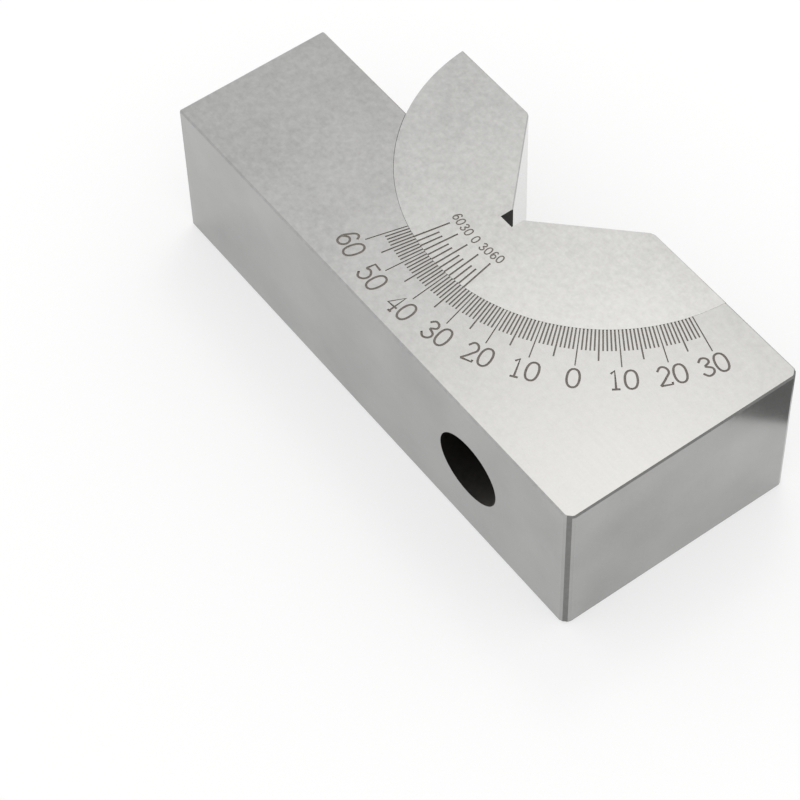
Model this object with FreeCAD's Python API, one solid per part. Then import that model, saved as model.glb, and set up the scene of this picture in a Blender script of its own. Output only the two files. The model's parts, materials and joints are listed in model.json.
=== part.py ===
"""Swivelling V block: a stepped steel base, a V rotor held by a T-slot clamp, and a degree scale.

X runs along the base from its low end to its high end, Y from the base face to the top, and Z from
the back face, on which the block lies, to the scale face. The origin is the middle of the back face.
Lengths are in millimetres. Angles about the rotor's axis are counted from straight down, which is -Y,
and grow towards +X.
"""
import FreeCAD, Part
import math
import os

Vector = FreeCAD.Vector

# Base block.
block_length = 101.6
block_height = 44.5
step_height = 28.9            # from the base face to the low step
block_thickness = 28.6
high_end_chamfer = 1.0        # on the two corners of the high end that stand along Z
edge_break = 0.3

# Round pocket in the base, and the rotor that turns in it about an axis above the top face.
rotor_axis_shift = 0.3        # from the middle of the block towards the high end
rotor_axis_rise = 2.7         # above the high top
pocket_radius = 33.5
rotor_running_clearance = 0.06
rotor_inset = 0.05            # from each face of the base to the rotor's face
rotor_edge_break = 0.2

# V notch with a relief groove where its two faces would meet.
v_opening = 31.6
v_angle = 90.0
v_corner_break = 0.4
relief_width = 2.8
relief_depth = 1.1            # below the line where the V faces would meet

# T-slot turned into the rim of the rotor.
slot_neck_width = 8.4
slot_neck_depth = 4.6
slot_head_width = 14.0
slot_head_height = 5.0

# Clamp nut in the T-slot.
nut_clearance = 0.3
nut_span = 30.0               # degrees round the rotor's axis

# Clamp screw: a socket head screw that stands along a radius of the pocket.
clamp_angle = 29.0
screw_diameter = 6.0
screw_length = 16.0
screw_end_chamfer = 0.6
head_diameter = 10.0
head_height = 6.0
head_rim_chamfer = 0.5
hex_across_flats = 5.0
hex_depth = 3.0
thread_clearance = 0.05
seat_clearance = 0.02
shank_hole_diameter = 6.6
access_hole_diameter = 12.2
clamp_web = 8.0               # steel left between the pocket and the screw head's seat

# Degree scale, engraved in the base from the seam outwards. It reads 60 at its start, 0 at scale_zero
# and 30 at its end.
scale_start = -15             # degrees
scale_end = 75
scale_zero = 45
line_depth = 0.15
degree_line_length = 4.1
five_line_length = 6.0
ten_line_length = 7.2
degree_line_width = 0.26
ten_line_width = 0.2

# Vernier, engraved in the rotor from the seam inwards: divisions of two degrees less ten minutes.
vernier_divisions = 6         # each side of its zero
vernier_side = 11.0           # degrees that they cover
vernier_group = 3             # divisions from one long line to the next
vernier_line_length = 3.9
vernier_long_line_length = 6.2
vernier_line_width = 0.3

# Everything below follows from the sizes above.
low_x = -block_length / 2
high_x = block_length / 2
base_y = -block_height / 2
top_y = block_height / 2
step_y = base_y + step_height
axis_x = rotor_axis_shift
axis_y = top_y + rotor_axis_rise
middle_z = block_thickness / 2
rotor_radius = pocket_radius - rotor_running_clearance
rotor_back_z = rotor_inset
rotor_front_z = block_thickness - rotor_inset
v_depth = v_opening / 2 / math.tan(math.radians(v_angle / 2))
slot_shelf_radius = rotor_radius - slot_neck_depth
slot_floor_radius = slot_shelf_radius - slot_head_height
seat_radius = pocket_radius + clamp_web
clamp_direction = Vector(math.sin(math.radians(clamp_angle)), -math.cos(math.radians(clamp_angle)), 0)


def prism(points, bottom_z, top_z):
    """Extrude a closed outline of (x, y) points between two levels."""
    corners = [Vector(x, y, bottom_z) for x, y in points]
    face = Part.Face(Part.makePolygon(corners + corners[:1]))
    return face.extrude(Vector(0, 0, top_z - bottom_z))


def disc(radius, bottom_z, top_z):
    """A cylinder about the rotor's axis."""
    return Part.makeCylinder(radius, top_z - bottom_z, Vector(axis_x, axis_y, bottom_z))


def clamp_cylinder(diameter, inner_radius, outer_radius):
    """A cylinder along the clamp screw's line, between two distances from the rotor's axis."""
    start = Vector(axis_x, axis_y, middle_z) + clamp_direction * inner_radius
    return Part.makeCylinder(diameter / 2, outer_radius - inner_radius, start, clamp_direction)


def break_edges(solid, size, chosen):
    """Chamfer the edges that the test picks."""
    edges = [edge for edge in solid.Edges if chosen(edge)]
    return solid.makeChamfer(size, edges)


def t_profile(neck_width, head_width, floor_radius, shelf_radius, mouth_radius):
    """The T section in the plane through the rotor's axis, as a face ready to revolve."""
    half_neck = neck_width / 2
    half_head = head_width / 2
    section = [
        (floor_radius, -half_head),
        (floor_radius, half_head),
        (shelf_radius, half_head),
        (shelf_radius, half_neck),
        (mouth_radius, half_neck),
        (mouth_radius, -half_neck),
        (shelf_radius, -half_neck),
        (shelf_radius, -half_head),
    ]
    corners = [Vector(axis_x, axis_y - radius, middle_z + level) for radius, level in section]
    return Part.Face(Part.makePolygon(corners + corners[:1]))


def engraved_line(angle, inner_radius, outer_radius, width, face_z):
    """Cutter for one straight line, in a face at that level, that points at the rotor's axis."""
    past_face = 1
    line = Part.makeBox(width, outer_radius - inner_radius, line_depth + past_face,
                        Vector(-width / 2, -outer_radius, face_z - line_depth))
    line.rotate(Vector(0, 0, 0), Vector(0, 0, 1), angle)
    line.translate(Vector(axis_x, axis_y, 0))
    return line


def degree_scale():
    """Cutters for a line at each degree, longer at the fives and longest, but finer, at the tens."""
    lines = []
    for angle in range(scale_start, scale_end + 1):
        reading = abs(angle - scale_zero)
        length = degree_line_length
        width = degree_line_width
        if reading % 10 == 0:
            length = ten_line_length
            width = ten_line_width
        elif reading % 5 == 0:
            length = five_line_length
        lines.append(engraved_line(angle, rotor_radius - 1, pocket_radius + length, width, block_thickness))
    return Part.makeCompound(lines)


def vernier():
    """Cutters for the rotor's lines, with a long one at its zero and at each group of divisions."""
    lines = []
    for division in range(-vernier_divisions, vernier_divisions + 1):
        length = vernier_line_length
        if division % vernier_group == 0:
            length = vernier_long_line_length
        angle = division * vernier_side / vernier_divisions
        lines.append(engraved_line(angle, rotor_radius - length, pocket_radius + 1, vernier_line_width,
                                   rotor_front_z))
    return Part.makeCompound(lines)


def base_block():
    """Stepped block with the rotor's pocket, the stepped hole for the clamp screw and the scale."""
    outline = [
        (low_x, base_y),
        (high_x - high_end_chamfer, base_y),
        (high_x, base_y + high_end_chamfer),
        (high_x, top_y - high_end_chamfer),
        (high_x - high_end_chamfer, top_y),
        (axis_x, top_y),
        (axis_x, step_y),
        (low_x, step_y),
    ]
    block = prism(outline, 0, block_thickness)
    block = block.cut(disc(pocket_radius, -1, block_thickness + 1))

    def outside(edge):
        """Every edge but those of the pocket's own wall."""
        middle = edge.CenterOfMass
        return math.hypot(middle.x - axis_x, middle.y - axis_y) > pocket_radius + edge_break

    block = break_edges(block, edge_break, outside)
    past_base = (axis_y - base_y) / math.cos(math.radians(clamp_angle)) + access_hole_diameter
    block = block.cut(clamp_cylinder(access_hole_diameter, seat_radius, past_base))
    block = block.cut(clamp_cylinder(shank_hole_diameter, rotor_radius - slot_neck_depth, seat_radius + 1))
    return block.cut(degree_scale())


def v_notch():
    """Cutter for the V and for the relief groove below it."""
    vertex_y = top_y - v_depth
    past_top = rotor_axis_rise + 1
    half_mouth = (v_depth + past_top) * math.tan(math.radians(v_angle / 2))
    wedge = prism(
        [(axis_x, vertex_y), (axis_x + half_mouth, top_y + past_top), (axis_x - half_mouth, top_y + past_top)],
        -1, block_thickness + 1)
    half_relief = relief_width / 2
    relief = prism(
        [(axis_x - half_relief, vertex_y - relief_depth), (axis_x + half_relief, vertex_y - relief_depth),
         (axis_x + half_relief, top_y), (axis_x - half_relief, top_y)],
        -1, block_thickness + 1)
    return wedge.fuse(relief)


def v_rotor():
    """Disc cut flush with the high top, with the V, the relief groove, the T-slot and the vernier."""
    body = disc(rotor_radius, rotor_back_z, rotor_front_z)
    above = Part.makeBox(4 * pocket_radius, 2 * pocket_radius, block_thickness + 2,
                         Vector(axis_x - 2 * pocket_radius, top_y, -1))
    body = body.cut(above).cut(v_notch())

    def mouth_corner(edge):
        """The two long corners where the V faces meet the flat top."""
        middle = edge.CenterOfMass
        at_top = abs(middle.y - top_y) < 1e-6
        return at_top and abs(abs(middle.x - axis_x) - v_opening / 2) < 1e-6

    def face_edge(edge):
        """The straight edges of the V and of the top, on the rotor's two faces."""
        middle = edge.CenterOfMass
        on_face = min(abs(middle.z - rotor_back_z), abs(middle.z - rotor_front_z)) < 1e-6
        straight = isinstance(edge.Curve, Part.Line)
        return on_face and straight and abs(middle.x - axis_x) > relief_width / 2 + 1e-6

    body = break_edges(body, v_corner_break, mouth_corner)
    body = break_edges(body, rotor_edge_break, face_edge)
    t_slot = t_profile(slot_neck_width, slot_head_width, slot_floor_radius, slot_shelf_radius,
                       rotor_radius + 1)
    body = body.cut(t_slot.revolve(Vector(axis_x, axis_y, 0), Vector(0, 0, 1), 360))
    return body.cut(vernier())


def clamp_nut():
    """T-shaped shoe, curved to the slot, with the tapped hole for the clamp screw."""
    section = t_profile(slot_neck_width - 2 * nut_clearance, slot_head_width - 2 * nut_clearance,
                        slot_floor_radius + nut_clearance, slot_shelf_radius - nut_clearance,
                        rotor_radius - nut_clearance)
    axis_point = Vector(axis_x, axis_y, 0)
    nut = section.revolve(axis_point, Vector(0, 0, 1), nut_span)
    nut.rotate(axis_point, Vector(0, 0, 1), clamp_angle - nut_span / 2)
    thread = clamp_cylinder(screw_diameter + 2 * thread_clearance, slot_floor_radius - 1, pocket_radius)
    return nut.cut(thread)


def clamp_screw():
    """Socket head cap screw, built along +Z from the seat under its head and then laid on its line."""
    shank_radius = screw_diameter / 2
    head_radius = head_diameter / 2
    half_section = [
        (0, -screw_length),
        (shank_radius - screw_end_chamfer, -screw_length),
        (shank_radius, -screw_length + screw_end_chamfer),
        (shank_radius, 0),
        (head_radius, 0),
        (head_radius, head_height - head_rim_chamfer),
        (head_radius - head_rim_chamfer, head_height),
        (0, head_height),
    ]
    corners = [Vector(radius, 0, height) for radius, height in half_section]
    section = Part.Face(Part.makePolygon(corners + corners[:1]))
    screw = section.revolve(Vector(0, 0, 0), Vector(0, 0, 1), 360)
    hex_radius = hex_across_flats / 2 / math.cos(math.radians(30))
    hexagon = [(hex_radius * math.cos(math.radians(60 * corner)), hex_radius * math.sin(math.radians(60 * corner)))
               for corner in range(6)]
    screw = screw.cut(prism(hexagon, head_height - hex_depth, head_height + 1))
    seat = Vector(axis_x, axis_y, middle_z) + clamp_direction * (seat_radius + seat_clearance)
    screw.Placement = FreeCAD.Placement(seat, FreeCAD.Rotation(Vector(0, 0, 1), clamp_direction))
    return screw


def main():
    """Write each piece to its own STEP file."""
    os.makedirs("parts", exist_ok=True)
    base_block().exportStep("parts/base_block.step")
    v_rotor().exportStep("parts/v_rotor.step")
    clamp_nut().exportStep("parts/clamp_nut.step")
    clamp_screw().exportStep("parts/clamp_screw.step")


main()
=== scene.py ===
"""Finished looks of the swivelling V block: its numerals, its steels, and the studio round it."""

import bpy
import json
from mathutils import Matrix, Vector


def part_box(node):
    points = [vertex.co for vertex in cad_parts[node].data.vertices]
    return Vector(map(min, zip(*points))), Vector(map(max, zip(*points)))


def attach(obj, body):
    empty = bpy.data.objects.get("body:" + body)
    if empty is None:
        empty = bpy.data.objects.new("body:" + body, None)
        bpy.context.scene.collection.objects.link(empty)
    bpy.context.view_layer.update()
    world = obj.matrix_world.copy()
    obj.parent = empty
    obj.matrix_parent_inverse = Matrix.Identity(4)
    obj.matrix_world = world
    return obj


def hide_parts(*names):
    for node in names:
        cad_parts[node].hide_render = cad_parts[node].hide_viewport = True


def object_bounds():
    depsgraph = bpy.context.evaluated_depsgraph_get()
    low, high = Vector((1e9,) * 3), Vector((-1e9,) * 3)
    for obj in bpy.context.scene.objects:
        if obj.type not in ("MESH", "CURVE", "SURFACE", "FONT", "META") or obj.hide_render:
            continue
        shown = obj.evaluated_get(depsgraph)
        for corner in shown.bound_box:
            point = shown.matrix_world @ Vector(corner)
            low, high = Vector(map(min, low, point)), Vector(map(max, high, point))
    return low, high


bl_info = {
    "name": "Swivelling V block",
    "version": (1, 0, 0),
    "blender": (4, 5, 0),
    "location": "3D View > Sidebar > V block",
    "description": "Builds the finished V block on its packed frame, with numerals, steels and studio",
    "category": "Object",
}

import json
import math

import bmesh
import bpy
from bpy.props import FloatProperty, FloatVectorProperty, PointerProperty
from mathutils import Matrix, Quaternion, Vector

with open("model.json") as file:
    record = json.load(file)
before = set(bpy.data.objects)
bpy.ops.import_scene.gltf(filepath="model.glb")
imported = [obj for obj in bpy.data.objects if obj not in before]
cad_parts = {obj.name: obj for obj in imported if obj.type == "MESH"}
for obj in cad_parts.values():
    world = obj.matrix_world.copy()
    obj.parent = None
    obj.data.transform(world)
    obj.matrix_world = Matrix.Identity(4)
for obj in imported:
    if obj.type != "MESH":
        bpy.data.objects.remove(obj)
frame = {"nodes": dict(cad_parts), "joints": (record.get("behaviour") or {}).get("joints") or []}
cad_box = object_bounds()

MM = 0.001
TOUCH = 1e-6                               # metres: places this close together are one place
SPECK = 1e-7                               # metres: a face thinner than this is none

# Distances at which the points round a cut are merged, in the order in which they are tried.
SLIVERS = (0.01 * MM, 0.001 * MM, 0.004 * MM, 0.006 * MM, 0.002 * MM)

JOINTS = {joint["name"]: joint for joint in frame["joints"]}
ROTOR_AXIS = Vector(JOINTS["rotor_swivel"]["pos_m"])
CLAMP_SEAT = Vector(JOINTS["clamp_turn"]["pos_m"])
CLAMP_AXIS = Vector(JOINTS["clamp_turn"]["axis"])
BLOCK_LOW, BLOCK_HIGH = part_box("base_block")
ROTOR_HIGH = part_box("v_rotor")[1]

# Where the faces lie that get a finish of their own, a painted shade or a painted dark reflection.
FACE_MARGIN = 0.01 * MM                    # how near a place counts as lying on a flat face
LINE_DEPTH = 0.15 * MM                     # of the engraved lines
SCALE_RING = (24.0 * MM, 41.5 * MM)        # round the rotor's axis, within which the lines lie
BORE_REACH = 6.2 * MM                      # from the clamp screw's line to just past its bore's wall
BORE_FALL = 20.0 * MM                      # below the rotor's axis, past which that wall lies
HIGH_END_BREAK = 1.1 * MM                  # from the high end to just past its broken edges
RELIEF_HALF = 1.4 * MM                     # half of the width of the groove under the V
RELIEF_REACH = 20.0 * MM                   # round the rotor's axis, within which that groove lies
V_REACH = 23.0 * MM                        # round the rotor's axis, within which the V's faces lie
SLOT_REACH = 33.3 * MM                     # round the rotor's axis, to just inside the rotor's rim
SLOT_LEVELS = (7.2 * MM, 21.4 * MM)        # between which the T-slot lies
CREASE = 20.0                              # degrees, from which an edge looks sharp

# Where the labels stand round the rotor's axis, in degrees.
SCALE_TURNS = range(-15, 76, 10)
SCALE_ZERO = 45
LAST_LABEL_NUDGE = -1.2                    # by which the last label stands off its line
VERNIER_LABELS = ("60", "30", "0", "30", "60")
VERNIER_STEP = 5.5                         # from one label of the vernier to the next

# How fine the patterns of the steels are, in cells of noise to the metre.
GRAIN_ACROSS = 2600.0
GRAIN_ALONG = 60.0
MOTTLE_FINENESS = 1100.0
CLOUD_FINENESS = 70.0
DULL_FINENESS = 1400.0

# The studio. Lengths without MM are in metres.
KEY_DIRECTION = (-0.30, 0.34, 0.88)        # from the block's middle to the lamp
KEY_DISTANCE = 0.6
KEY_SIZE = 0.15
KEY_TINT = (1.0, 0.98, 0.93)
CAMERA_AIM = (9.5 * MM, -22.6 * MM, 14.3 * MM)
FLOOR_HALF = 3.0
FLOOR_LEVEL = -0.05 * MM
FLAG_OUTLINE = ((80.0, 9.4), (140.0, 9.4), (140.0, 104.4), (45.0, 104.4), (45.0, 44.4))  # times MM
FLAG_LEVEL = 0.02 * MM
FLAG_TONE = 0.24


# ---------------------------------------------------------------------------------------------
# Settings that a user would change
# ---------------------------------------------------------------------------------------------

def length(name, description, default):
    """A length property, in metres."""
    return FloatProperty(name=name, description=description, default=default, min=0.0,
                         subtype="DISTANCE", unit="LENGTH", precision=5)


def share(name, description, default):
    """A property between 0 and 1."""
    return FloatProperty(name=name, description=description, default=default, min=0.0, max=1.0,
                         subtype="FACTOR")


def colour(name, description, default):
    """A colour property."""
    return FloatVectorProperty(name=name, description=description, default=default, size=3,
                               min=0.0, max=1.0, subtype="COLOR")


def angle(name, description, degrees):
    """An angle property, given in degrees."""
    return FloatProperty(name=name, description=description, default=math.radians(degrees),
                         subtype="ANGLE", unit="ROTATION")


class NumeralSizes(bpy.types.PropertyGroup):
    """Sizes of the engraved numerals."""
    scale_height: length("Scale height", "Height of the block's numerals", 3.5 * MM)
    scale_width: length("Scale width", "Width of one of the block's numerals", 1.95 * MM)
    scale_pitch: length("Scale pitch", "From one numeral of a label to the next", 2.5 * MM)
    scale_stroke: length("Scale stroke", "Width of the block's engraved strokes", 0.38 * MM)
    scale_radius: length("Scale radius", "From the rotor's axis to the middle of a label", 43.1 * MM)
    vernier_height: length("Vernier height", "Height of the rotor's numerals", 1.5 * MM)
    vernier_width: length("Vernier width", "Width of one of the rotor's numerals", 0.85 * MM)
    vernier_pitch: length("Vernier pitch", "From one numeral of a label to the next", 1.2 * MM)
    vernier_stroke: length("Vernier stroke", "Width of the rotor's engraved strokes", 0.24 * MM)
    vernier_radius: length("Vernier radius", "From the rotor's axis to the middle of a label", 25.6 * MM)


class SteelFinishes(bpy.types.PropertyGroup):
    """Colours and gloss of the steels and of the engraving, with a painted shade for the recesses and a
    painted dark reflection for the high end's edges.
    """
    block_colour: colour("Block", "Ground steel of the base block", (0.38, 0.38, 0.376))
    rotor_colour: colour("Rotor", "Ground steel of the rotor", (0.43, 0.43, 0.424))
    side_colour: colour("Sides", "Lapped steel of the block's sides", (0.375, 0.375, 0.369))
    v_colour: colour("V faces", "Lapped steel of the two faces of the V", (0.47, 0.468, 0.458))
    # Painted reflection: the darker tone stands in for the dark surroundings that the high end's broken edges
    # mirror.
    edge_colour: colour("Edges", "Steel of the broken edges, which were never ground", (0.2, 0.2, 0.196))
    engraving_colour: colour("Engraving", "Dark fill of the lines and numerals", (0.2, 0.178, 0.155))
    # Painted shade: a near-black tone that stands in for the shade inside the clamp screw's bore and the
    # groove under the V.
    unground_colour: colour("Unground", "Blackened steel inside the holes and grooves", (0.035, 0.033, 0.029))
    screw_colour: colour("Screw", "Blackened steel of the clamp screw", (0.03, 0.03, 0.032))
    nut_colour: colour("Nut", "Machined steel of the clamp nut", (0.36, 0.35, 0.33))
    ground_roughness: share("Ground roughness", "Roughness of the ground faces", 0.33)
    v_roughness: share("V roughness", "Roughness of the two faces of the V", 0.12)
    side_roughness: share("Side roughness", "Roughness of the lapped sides", 0.16)


class StudioSettings(bpy.types.PropertyGroup):
    """Camera, lamps and floor."""
    lens: FloatProperty(name="Lens", description="Focal length on a 36 mm sensor", default=131.9,
                        min=10.0, subtype="DISTANCE_CAMERA", unit="CAMERA")
    distance: length("Distance", "From the camera to the point it looks at", 0.4577)
    azimuth: angle("Azimuth", "Camera's direction, from +X towards +Y", -34.95)
    elevation: angle("Elevation", "Camera's height above the floor", 53.41)
    roll: angle("Roll", "Turn of the camera about its own line of sight", 2.01)
    key_strength: FloatProperty(name="Key", description="Power of the soft lamp above", default=0.27,
                                min=0.0, unit="POWER")
    world_strength: share("World", "Strength of the light from all round", 1.0)
    floor_colour: colour("Floor", "Colour of the floor", (0.97, 0.97, 0.97))


# ---------------------------------------------------------------------------------------------
# Materials
# ---------------------------------------------------------------------------------------------

class Value:
    """A number socket on which arithmetic adds Math nodes."""

    def __init__(self, finish, socket):
        self.finish = finish
        self.socket = socket

    def _with(self, operation, first, second):
        return self.finish.add("ShaderNodeMath", {"operation": operation}, {0: first, 1: second}).value()

    def __add__(self, other):
        return self._with("ADD", self, other)

    def __radd__(self, other):
        return self._with("ADD", other, self)

    def __sub__(self, other):
        return self._with("SUBTRACT", self, other)

    def __rsub__(self, other):
        return self._with("SUBTRACT", other, self)

    def __mul__(self, other):
        return self._with("MULTIPLY", self, other)

    def __rmul__(self, other):
        return self._with("MULTIPLY", other, self)


class Added:
    """A node that was just added, and its outputs."""

    def __init__(self, finish, node):
        self.finish = finish
        self.node = node

    def value(self, output=0):
        return Value(self.finish, self.node.outputs[output])

    def socket(self, output=0):
        return self.node.outputs[output]


class Finish:
    """One material, or the world, as it is put together from nodes."""

    def __init__(self, owner):
        owner.use_nodes = True
        self.tree = owner.node_tree
        self.tree.nodes.clear()

    def add(self, kind, settings=None, inputs=None):
        """Add a node: its settings first, and then the values or links of its sockets."""
        node = self.tree.nodes.new(kind)
        for name, setting in (settings or {}).items():
            setattr(node, name, setting)
        for name, given in (inputs or {}).items():
            given = given.socket if isinstance(given, Value) else given
            if isinstance(given, Added):
                given = given.socket()
            if isinstance(given, bpy.types.NodeSocket):
                self.tree.links.new(given, node.inputs[name])
            else:
                node.inputs[name].default_value = given
        return Added(self, node)

    def mix_colours(self, factor, first, second):
        """A colour between two others."""
        mix = self.add("ShaderNodeMix", {"data_type": "RGBA"}, {0: factor, 6: first, 7: second})
        return mix.socket(2)

    def noise(self, vector, scale, detail=2.0, roughness=0.5):
        """Smooth noise from 0 to 1."""
        found = self.add("ShaderNodeTexNoise", None,
                         {"Vector": vector, "Scale": scale, "Detail": detail, "Roughness": roughness})
        return found.value("Fac")


def new_material(name):
    """An empty material and the finish that fills it."""
    material = bpy.data.materials.new(name)
    return material, Finish(material)


def darker_and_lighter(tone, spread):
    """Two colours round a tone, as far below it as above."""
    dark = tuple(channel * (1 - spread) for channel in tone)
    light = tuple(min(1.0, channel * (1 + spread)) for channel in tone)
    return (*dark, 1.0), (*light, 1.0)


def ground_steel(name, tone, roughness, grain_axis, mottling=0.75, clouding=0.3):
    """Fine ground steel: faint grinding lines along one axis, soft mottling, and a satin gloss."""
    material, finish = new_material(name)
    place = finish.add("ShaderNodeTexCoord").socket("Object")
    stretch = [GRAIN_ACROSS] * 3
    stretch[grain_axis] = GRAIN_ALONG
    along = finish.add("ShaderNodeMapping", None, {"Vector": place, "Scale": stretch})
    lines = finish.noise(along.socket(), 1.0, 3.0, 0.6)
    mottle = finish.noise(place, MOTTLE_FINENESS, 4.0, 0.62)
    cloud = finish.noise(place, CLOUD_FINENESS, 2.0, 0.5)
    shade = (lines - 0.5) * 0.1 + (mottle - 0.5) * mottling + (cloud - 0.5) * clouding + 0.5
    base = finish.mix_colours(shade, *darker_and_lighter(tone, 0.3))
    gloss = (mottle - 0.5) * 0.10 + (cloud - 0.5) * 0.05 + roughness
    bump = finish.add("ShaderNodeBump", None, {
        "Strength": 0.12, "Distance": 0.00002, "Height": lines * 0.6 + mottle * 0.4})
    shader = finish.add("ShaderNodeBsdfPrincipled", None, {
        "Base Color": base, "Metallic": 1.0, "Roughness": gloss, "Normal": bump})
    finish.add("ShaderNodeOutputMaterial", None, {"Surface": shader})
    return material


def dull_steel(name, tone, roughness, metallic):
    """Steel that was never ground: darker, rough and a little uneven. Also gives the near-black painted shade
    of the bore and of the groove under the V.
    """
    material, finish = new_material(name)
    place = finish.add("ShaderNodeTexCoord").socket("Object")
    grain = finish.noise(place, DULL_FINENESS, 3.0, 0.6)
    base = finish.mix_colours(grain, *darker_and_lighter(tone, 0.4))
    bump = finish.add("ShaderNodeBump", None, {"Strength": 0.3, "Distance": 0.00003, "Height": grain})
    shader = finish.add("ShaderNodeBsdfPrincipled", None, {
        "Base Color": base, "Metallic": metallic, "Roughness": (grain - 0.5) * 0.2 + roughness,
        "Normal": bump})
    finish.add("ShaderNodeOutputMaterial", None, {"Surface": shader})
    return material


# ---------------------------------------------------------------------------------------------
# Engraved numerals
# ---------------------------------------------------------------------------------------------

# Strokes of each numeral, in a cell one wide and one high. A stroke is "round" through its points,
# "closed" and round, or "straight" from point to point.
NUMERALS = {
    "0": [("closed", [(0.5, 1.0), (1.0, 0.5), (0.5, 0.0), (0.0, 0.5)])],
    "1": [("straight", [(0.22, 0.84), (0.55, 1.0), (0.55, 0.0)]), ("straight", [(0.22, 0.0), (0.88, 0.0)])],
    "2": [("round", [(0.04, 0.78), (0.48, 1.0), (0.94, 0.73), (0.62, 0.4), (0.02, 0.0)]),
          ("straight", [(0.02, 0.0), (0.98, 0.0), (0.98, 0.12)])],
    "3": [("round", [(0.06, 0.82), (0.48, 1.0), (0.9, 0.77), (0.42, 0.54)]),
          ("round", [(0.42, 0.54), (0.98, 0.27), (0.48, 0.0), (0.02, 0.2)])],
    "4": [("straight", [(0.74, 0.0), (0.74, 1.0), (0.0, 0.3), (1.0, 0.3)]),
          ("straight", [(0.56, 0.0), (0.92, 0.0)])],
    "5": [("straight", [(0.92, 1.0), (0.16, 1.0), (0.1, 0.56)]),
          ("round", [(0.1, 0.56), (0.55, 0.63), (0.98, 0.32), (0.5, 0.0), (0.02, 0.18)])],
    "6": [("round", [(0.9, 0.86), (0.52, 1.0), (0.08, 0.55), (0.06, 0.24), (0.5, 0.0), (0.97, 0.3),
                     (0.52, 0.57), (0.06, 0.3)])],
}


def add_stroke(curve, manner, points):
    """Add one stroke of a numeral to a curve."""
    spline = curve.splines.new("BEZIER")
    spline.bezier_points.add(len(points) - 1)
    spline.use_cyclic_u = manner == "closed"
    handle = "VECTOR" if manner == "straight" else "AUTO"
    for knot, (x, y) in zip(spline.bezier_points, points):
        knot.co = (x, y, 0.0)
        knot.handle_left_type = handle
        knot.handle_right_type = handle


def label_cutter(text, turn, radius, level, height, width, pitch, stroke):
    """Tubes along the strokes of a label that stands at that angle round the rotor's axis."""
    curve = bpy.data.curves.new("label", "CURVE")
    curve.dimensions = "3D"
    curve.bevel_depth = stroke / 2
    curve.bevel_resolution = 2
    curve.resolution_u = 6
    curve.use_fill_caps = True
    for place, numeral in enumerate(text):
        left = (place - (len(text) - 1) / 2) * pitch - width / 2
        for manner, points in NUMERALS[numeral]:
            spots = [(left + x * width, (y - 0.5) * height - radius) for x, y in points]
            add_stroke(curve, manner, spots)
    label = bpy.data.objects.new("label", curve)
    bpy.context.scene.collection.objects.link(label)
    bpy.context.view_layer.update()
    solid = bpy.data.meshes.new_from_object(label.evaluated_get(bpy.context.evaluated_depsgraph_get()))
    centre = Vector((ROTOR_AXIS.x, ROTOR_AXIS.y, level))
    solid.transform(Matrix.Translation(centre) @ Matrix.Rotation(math.radians(turn), 4, "Z"))
    bpy.data.objects.remove(label)
    bpy.data.curves.remove(curve)
    return solid


def joined(meshes, name, material):
    """One object that holds several meshes."""
    whole = bmesh.new()
    for mesh in meshes:
        whole.from_mesh(mesh)
        bpy.data.meshes.remove(mesh)
    bmesh.ops.remove_doubles(whole, verts=whole.verts, dist=SPECK)
    bmesh.ops.recalc_face_normals(whole, faces=whole.faces)
    mesh = bpy.data.meshes.new(name)
    whole.to_mesh(mesh)
    whole.free()
    mesh.materials.clear()
    mesh.materials.append(material)
    piece = bpy.data.objects.new(name, mesh)
    bpy.context.scene.collection.objects.link(piece)
    return piece


def close_slivers(mesh):
    """Merge the hair-thin faces that a cut leaves, at the first distance that gives a closed skin."""
    for sliver in SLIVERS:
        skin = bmesh.new()
        skin.from_mesh(mesh)
        bmesh.ops.remove_doubles(skin, verts=skin.verts, dist=sliver)
        bmesh.ops.dissolve_degenerate(skin, edges=skin.edges, dist=sliver)
        bmesh.ops.triangulate(skin, faces=skin.faces)
        bmesh.ops.dissolve_degenerate(skin, edges=skin.edges, dist=sliver)
        if all(edge.is_manifold for edge in skin.edges) or sliver == SLIVERS[-1]:
            skin.to_mesh(mesh)
            skin.free()
            return
        skin.free()


def engrave(piece, cutter):
    """Cut the cutter out of the piece and leave its material in the grooves."""
    groove = piece.modifiers.new("engraving", "BOOLEAN")
    groove.object = cutter
    groove.operation = "DIFFERENCE"
    groove.solver = "EXACT"
    groove.use_self = True
    groove.material_mode = "TRANSFER"
    bpy.context.view_layer.update()
    cut = bpy.data.meshes.new_from_object(piece.evaluated_get(bpy.context.evaluated_depsgraph_get()))
    piece.modifiers.clear()
    close_slivers(cut)
    plain = piece.data
    piece.data = cut
    bpy.data.meshes.remove(plain)
    bpy.data.objects.remove(cutter)


# ---------------------------------------------------------------------------------------------
# Pieces
# ---------------------------------------------------------------------------------------------

def welded_copy(node, name):
    """A copy of a CAD node with its loose triangles joined into one skin."""
    skin = bmesh.new()
    skin.from_mesh(frame["nodes"][node].data)
    bmesh.ops.remove_doubles(skin, verts=skin.verts, dist=TOUCH)
    bmesh.ops.dissolve_degenerate(skin, edges=skin.edges, dist=SPECK)
    mesh = bpy.data.meshes.new(name)
    skin.to_mesh(mesh)
    skin.free()
    # Normals stored for the loose triangles don't fit the joined skin.
    if "custom_normal" in mesh.attributes:
        mesh.attributes.remove(mesh.attributes["custom_normal"])
    piece = bpy.data.objects.new(name, mesh)
    bpy.context.scene.collection.objects.link(piece)
    return piece


def from_rotor_axis(point):
    """Distance of a point from the rotor's axis."""
    return math.hypot(point.x - ROTOR_AXIS.x, point.y - ROTOR_AXIS.y)


def from_clamp_axis(point):
    """Distance of a point from the clamp screw's line."""
    offset = point - CLAMP_SEAT
    return (offset - CLAMP_AXIS * offset.dot(CLAMP_AXIS)).length


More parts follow.
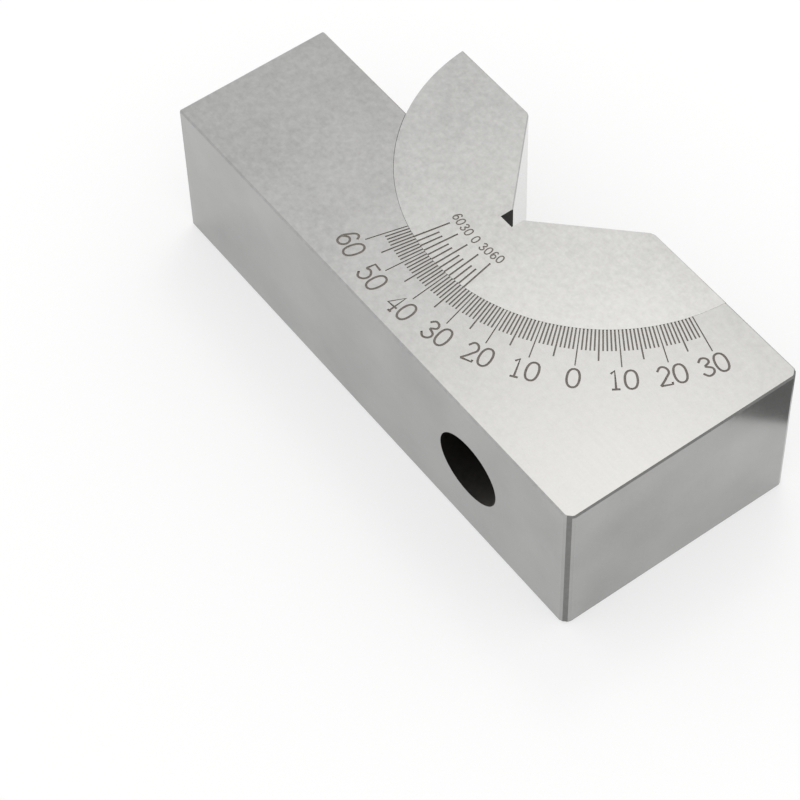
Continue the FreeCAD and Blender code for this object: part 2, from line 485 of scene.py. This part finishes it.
def paint_faces(piece, materials, choose):
    """Give each face the material that the test returns for its centre, normal and corners."""
    mesh = piece.data
    mesh.materials.clear()
    for material in materials:
        mesh.materials.append(material)
    for face in mesh.polygons:
        corners = [mesh.vertices[index].co for index in face.vertices]
        face.material_index = materials.index(choose(face.center, face.normal, corners))


def smooth_round_faces(piece):
    """Smooth shading, with a crease wherever the surface turns sharply."""
    piece.data.shade_smooth()
    piece.data.set_sharp_from_angle(angle=math.radians(CREASE))


def in_engraving(normal, corners, face_level):
    """Whether a face lies in a line that is cut into the engraved face at that level."""
    lowest = min(corner.z for corner in corners)
    highest = max(corner.z for corner in corners)
    centre = sum(corners, Vector()) / len(corners)
    radial = Vector((centre.x - ROTOR_AXIS.x, centre.y - ROTOR_AXIS.y, 0.0)).normalized()
    in_scale_ring = SCALE_RING[0] < from_rotor_axis(centre) < SCALE_RING[1]
    below = highest < face_level + TOUCH and centre.z < face_level - TOUCH
    shallow = lowest > face_level - LINE_DEPTH - TOUCH
    on_round_wall = abs(normal.dot(radial)) >= 0.9
    return in_scale_ring and below and shallow and not on_round_wall


class VBLOCK_OT_base_block(bpy.types.Operator):
    """Ground base block with its engraved scale and numerals"""
    bl_idname = "vblock.base_block"
    bl_label = "Base block"

    def execute(self, context):
        steels = context.scene.vblock_steels
        sizes = context.scene.vblock_numerals
        ground = ground_steel("ground_block_steel", tuple(steels.block_colour), steels.ground_roughness, 0)
        lapped = ground_steel("lapped_side_steel", tuple(steels.side_colour), steels.side_roughness, 0,
                              mottling=0.15, clouding=0.6)
        # Painted reflection: a darker tone on the high end's broken edges, for the dark surroundings they
        # mirror.
        edges = ground_steel("painted_reflection_edge_steel", tuple(steels.edge_colour), 0.45, 2)
        filled = dull_steel("engraving_fill", tuple(steels.engraving_colour), 0.6, 0.0)
        # Painted shade: near-black colour on the wall of the clamp screw's bore, where shade falls.
        bore = dull_steel("painted_shade_bore", tuple(steels.unground_colour), 0.55, 0.6)
        piece = welded_copy("base_block", "finished_base_block")
        level = BLOCK_HIGH.z

        def choose(centre, normal, corners):
            if in_engraving(normal, corners, level):
                return filled
            # Faces of the bore's wall get the painted shade.
            in_bore = from_clamp_axis(centre) < BORE_REACH and centre.y < ROTOR_AXIS.y - BORE_FALL
            inside = centre.y > BLOCK_LOW.y + FACE_MARGIN
            if in_bore and inside:
                return bore
            # The high end's broken edges get the painted dark reflection.
            at_high_end = centre.x > BLOCK_HIGH.x - HIGH_END_BREAK and normal.x > 0.5
            slanted = max(abs(normal.y), normal.z) > 0.5
            if at_high_end and slanted:
                return edges
            upright = abs(normal.z) < 0.3
            return lapped if upright else ground

        paint_faces(piece, [ground, filled, bore, lapped, edges], choose)
        labels = []
        for turn in SCALE_TURNS:
            text = str(abs(turn - SCALE_ZERO))
            nudge = LAST_LABEL_NUDGE if turn == SCALE_TURNS[-1] else 0.0
            labels.append(label_cutter(text, turn + nudge, sizes.scale_radius, level, sizes.scale_height,
                                       sizes.scale_width, sizes.scale_pitch, sizes.scale_stroke))
        engrave(piece, joined(labels, "scale_numerals", filled))
        smooth_round_faces(piece)
        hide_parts("base_block")
        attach(piece, "base")
        return {"FINISHED"}


class VBLOCK_OT_rotor(bpy.types.Operator):
    """Ground V rotor with its engraved vernier and numerals"""
    bl_idname = "vblock.rotor"
    bl_label = "V rotor"

    def execute(self, context):
        steels = context.scene.vblock_steels
        sizes = context.scene.vblock_numerals
        ground = ground_steel("ground_rotor_steel", tuple(steels.rotor_colour), steels.ground_roughness, 0)
        filled = dull_steel("vernier_fill", tuple(steels.engraving_colour), 0.6, 0.0)
        # Painted shade: near-black colour in the groove under the V, where shade falls.
        relief = dull_steel("painted_shade_relief", tuple(steels.unground_colour), 0.55, 0.6)
        lapped = ground_steel("lapped_v_steel", tuple(steels.v_colour), steels.v_roughness, 2,
                              mottling=0.15, clouding=0.2)
        slot = dull_steel("machined_slot", tuple(steels.nut_colour), 0.45, 1.0)
        piece = welded_copy("v_rotor", "finished_v_rotor")
        level = ROTOR_HIGH.z

        def choose(centre, normal, corners):
            if in_engraving(normal, corners, level):
                return filled
            around = from_rotor_axis(centre)
            near_middle = abs(centre.x - ROTOR_AXIS.x) < RELIEF_HALF + FACE_MARGIN
            upright = abs(normal.z) < 0.5
            flat_or_side = abs(normal.x) > 0.99 or normal.y > 0.99
            # Faces of the groove under the V get the painted shade.
            if near_middle and upright and flat_or_side and around < RELIEF_REACH:
                return relief
            in_v = around < V_REACH
            faces_into_v = abs(normal.x) > 0.6 and normal.y > 0.6
            if faces_into_v and in_v:
                return lapped
            in_slot = around < SLOT_REACH and SLOT_LEVELS[0] < centre.z < SLOT_LEVELS[1]
            at_land = abs(centre.y - ROTOR_HIGH.y) < FACE_MARGIN
            return slot if in_slot and not at_land and not in_v else ground

        paint_faces(piece, [ground, filled, relief, slot, lapped], choose)
        labels = []
        for place, text in enumerate(VERNIER_LABELS):
            turn = (place - len(VERNIER_LABELS) // 2) * VERNIER_STEP
            labels.append(label_cutter(text, turn, sizes.vernier_radius, level, sizes.vernier_height,
                                       sizes.vernier_width, sizes.vernier_pitch, sizes.vernier_stroke))
        engrave(piece, joined(labels, "vernier_numerals", filled))
        smooth_round_faces(piece)
        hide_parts("v_rotor")
        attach(piece, "rotor")
        return {"FINISHED"}


class VBLOCK_OT_clamp(bpy.types.Operator):
    """Steels of the clamp screw and of its nut"""
    bl_idname = "vblock.clamp"
    bl_label = "Clamp screw and nut"

    def execute(self, context):
        steels = context.scene.vblock_steels
        for node, name, tone, roughness in (
                ("clamp_screw", "blackened_screw_steel", steels.screw_colour, 0.38),
                ("clamp_nut", "plain_nut_steel", steels.nut_colour, 0.42)):
            piece = frame["nodes"][node]
            piece.data.materials.clear()
            piece.data.materials.append(dull_steel(name, tuple(tone), roughness, 1.0))
        return {"FINISHED"}


# ---------------------------------------------------------------------------------------------
# Studio
# ---------------------------------------------------------------------------------------------

def seen_or_lit(finish, seen, lit):
    """One shader for what the camera and reflections see, and another for the light that is given."""
    path = finish.add("ShaderNodeLightPath")
    shown = path.value("Is Camera Ray") + path.value("Is Glossy Ray") + path.value("Is Transmission Ray")
    return finish.add("ShaderNodeMixShader", None, {0: shown, 1: lit, 2: seen})


def white_floor(tone):
    """Pale floor that reads as white where it is lit and keeps the block's soft shadow."""
    material, finish = new_material("studio_floor")
    matt = finish.add("ShaderNodeBsdfDiffuse", None, {"Color": (*tone, 1.0)})
    glow = finish.add("ShaderNodeEmission", None, {"Color": (1.0, 1.0, 1.0, 1.0), "Strength": 1.0})
    shown = finish.add("ShaderNodeMixShader", None, {0: 0.5, 1: matt, 2: glow})
    surface = seen_or_lit(finish, shown, matt)
    finish.add("ShaderNodeOutputMaterial", None, {"Surface": surface})
    return material


def dark_flag():
    """Dark sheet on the floor off the high end, which only shows as a reflection in the steel."""
    sheet = bmesh.new()
    sheet.faces.new([sheet.verts.new((x * MM, y * MM, FLAG_LEVEL)) for x, y in FLAG_OUTLINE])
    mesh = bpy.data.meshes.new("dark_flag")
    sheet.to_mesh(mesh)
    sheet.free()
    material, finish = new_material("dark_flag")
    black = finish.add("ShaderNodeBsdfDiffuse", None, {"Color": (FLAG_TONE, FLAG_TONE, FLAG_TONE, 1.0)})
    finish.add("ShaderNodeOutputMaterial", None, {"Surface": black})
    mesh.materials.append(material)
    flag = bpy.data.objects.new("dark_flag", mesh)
    flag.visible_camera = False
    flag.visible_diffuse = False
    flag.visible_shadow = False
    bpy.context.scene.collection.objects.link(flag)
    return flag


def fill_world(world, strength):
    """Even light from all round, seen as white."""
    finish = Finish(world)
    seen = finish.add("ShaderNodeBackground", None, {"Color": (1.0, 1.0, 1.0, 1.0), "Strength": 1.0})
    lit = finish.add("ShaderNodeBackground", None, {"Color": (1.0, 1.0, 1.0, 1.0), "Strength": strength})
    finish.add("ShaderNodeOutputWorld", None, {"Surface": seen_or_lit(finish, seen, lit)})


def soft_lamp(name, direction, distance, size, power, target):
    """Square lamp that stands off the target in a direction and faces it."""
    lamp = bpy.data.lights.new(name, "AREA")
    lamp.shape = "SQUARE"
    lamp.size = size
    lamp.energy = power
    lamp.color = KEY_TINT
    piece = bpy.data.objects.new(name, lamp)
    toward = Vector(direction).normalized()
    piece.location = target + toward * distance
    piece.rotation_euler = toward.to_track_quat("Z", "Y").to_euler()
    bpy.context.scene.collection.objects.link(piece)


class VBLOCK_OT_studio(bpy.types.Operator):
    """White floor, soft light and the camera"""
    bl_idname = "vblock.studio"
    bl_label = "Studio"

    def execute(self, context):
        studio = context.scene.vblock_studio
        scene = context.scene
        floor_mesh = bpy.data.meshes.new("floor")
        sheet = bmesh.new()
        bmesh.ops.create_grid(sheet, x_segments=1, y_segments=1, size=FLOOR_HALF)
        bmesh.ops.translate(sheet, verts=sheet.verts, vec=(0.0, 0.0, FLOOR_LEVEL))
        sheet.to_mesh(floor_mesh)
        sheet.free()
        floor_mesh.materials.append(white_floor(tuple(studio.floor_colour)))
        floor = bpy.data.objects.new("floor", floor_mesh)
        scene.collection.objects.link(floor)
        dark_flag()
        scene.world = bpy.data.worlds.new("studio_world")
        fill_world(scene.world, studio.world_strength)
        middle = (cad_box[0] + cad_box[1]) / 2
        soft_lamp("key_lamp", KEY_DIRECTION, KEY_DISTANCE, KEY_SIZE, studio.key_strength, middle)
        aim = Vector(CAMERA_AIM)
        back = Vector((math.cos(studio.elevation) * math.cos(studio.azimuth),
                       math.cos(studio.elevation) * math.sin(studio.azimuth),
                       math.sin(studio.elevation)))
        camera = bpy.data.cameras.new("camera")
        camera.lens = studio.lens
        camera.clip_start = 0.01
        eye = bpy.data.objects.new("camera", camera)
        eye.location = aim + back * studio.distance
        eye.rotation_mode = "QUATERNION"
        eye.rotation_quaternion = back.to_track_quat("Z", "Y") @ Quaternion((0.0, 0.0, 1.0), -studio.roll)
        scene.collection.objects.link(eye)
        scene.camera = eye
        scene.view_settings.view_transform = "Standard"
        return {"FINISHED"}


class VBLOCK_PT_sidebar(bpy.types.Panel):
    """Buttons and settings of the V block"""
    bl_idname = "VBLOCK_PT_sidebar"
    bl_label = "V block"
    bl_space_type = "VIEW_3D"
    bl_region_type = "UI"
    bl_category = "V block"

    def draw(self, context):
        layout = self.layout
        for operator in OPERATORS:
            layout.operator(operator.bl_idname)
        scene = context.scene
        for group in (scene.vblock_numerals, scene.vblock_steels, scene.vblock_studio):
            box = layout.box()
            for name in group.__annotations__:
                box.prop(group, name)


OPERATORS = (VBLOCK_OT_studio, VBLOCK_OT_base_block, VBLOCK_OT_rotor, VBLOCK_OT_clamp)
GROUPS = {"vblock_numerals": NumeralSizes, "vblock_steels": SteelFinishes, "vblock_studio": StudioSettings}


def register():
    """Make the settings, operators and panel known to Blender."""
    for name, group in GROUPS.items():
        bpy.utils.register_class(group)
        setattr(bpy.types.Scene, name, PointerProperty(type=group))
    for operator in OPERATORS:
        bpy.utils.register_class(operator)
    bpy.utils.register_class(VBLOCK_PT_sidebar)


def unregister():
    """Take the panel, operators and settings away again."""
    bpy.utils.unregister_class(VBLOCK_PT_sidebar)
    for operator in reversed(OPERATORS):
        bpy.utils.unregister_class(operator)
    for name, group in GROUPS.items():
        delattr(bpy.types.Scene, name)
        bpy.utils.unregister_class(group)


def main():
    """Build the studio and every finished piece, in order."""
    register()
    bpy.ops.vblock.studio()
    bpy.ops.vblock.base_block()
    bpy.ops.vblock.rotor()
    bpy.ops.vblock.clamp()


if __name__ == "__main__":
    main()
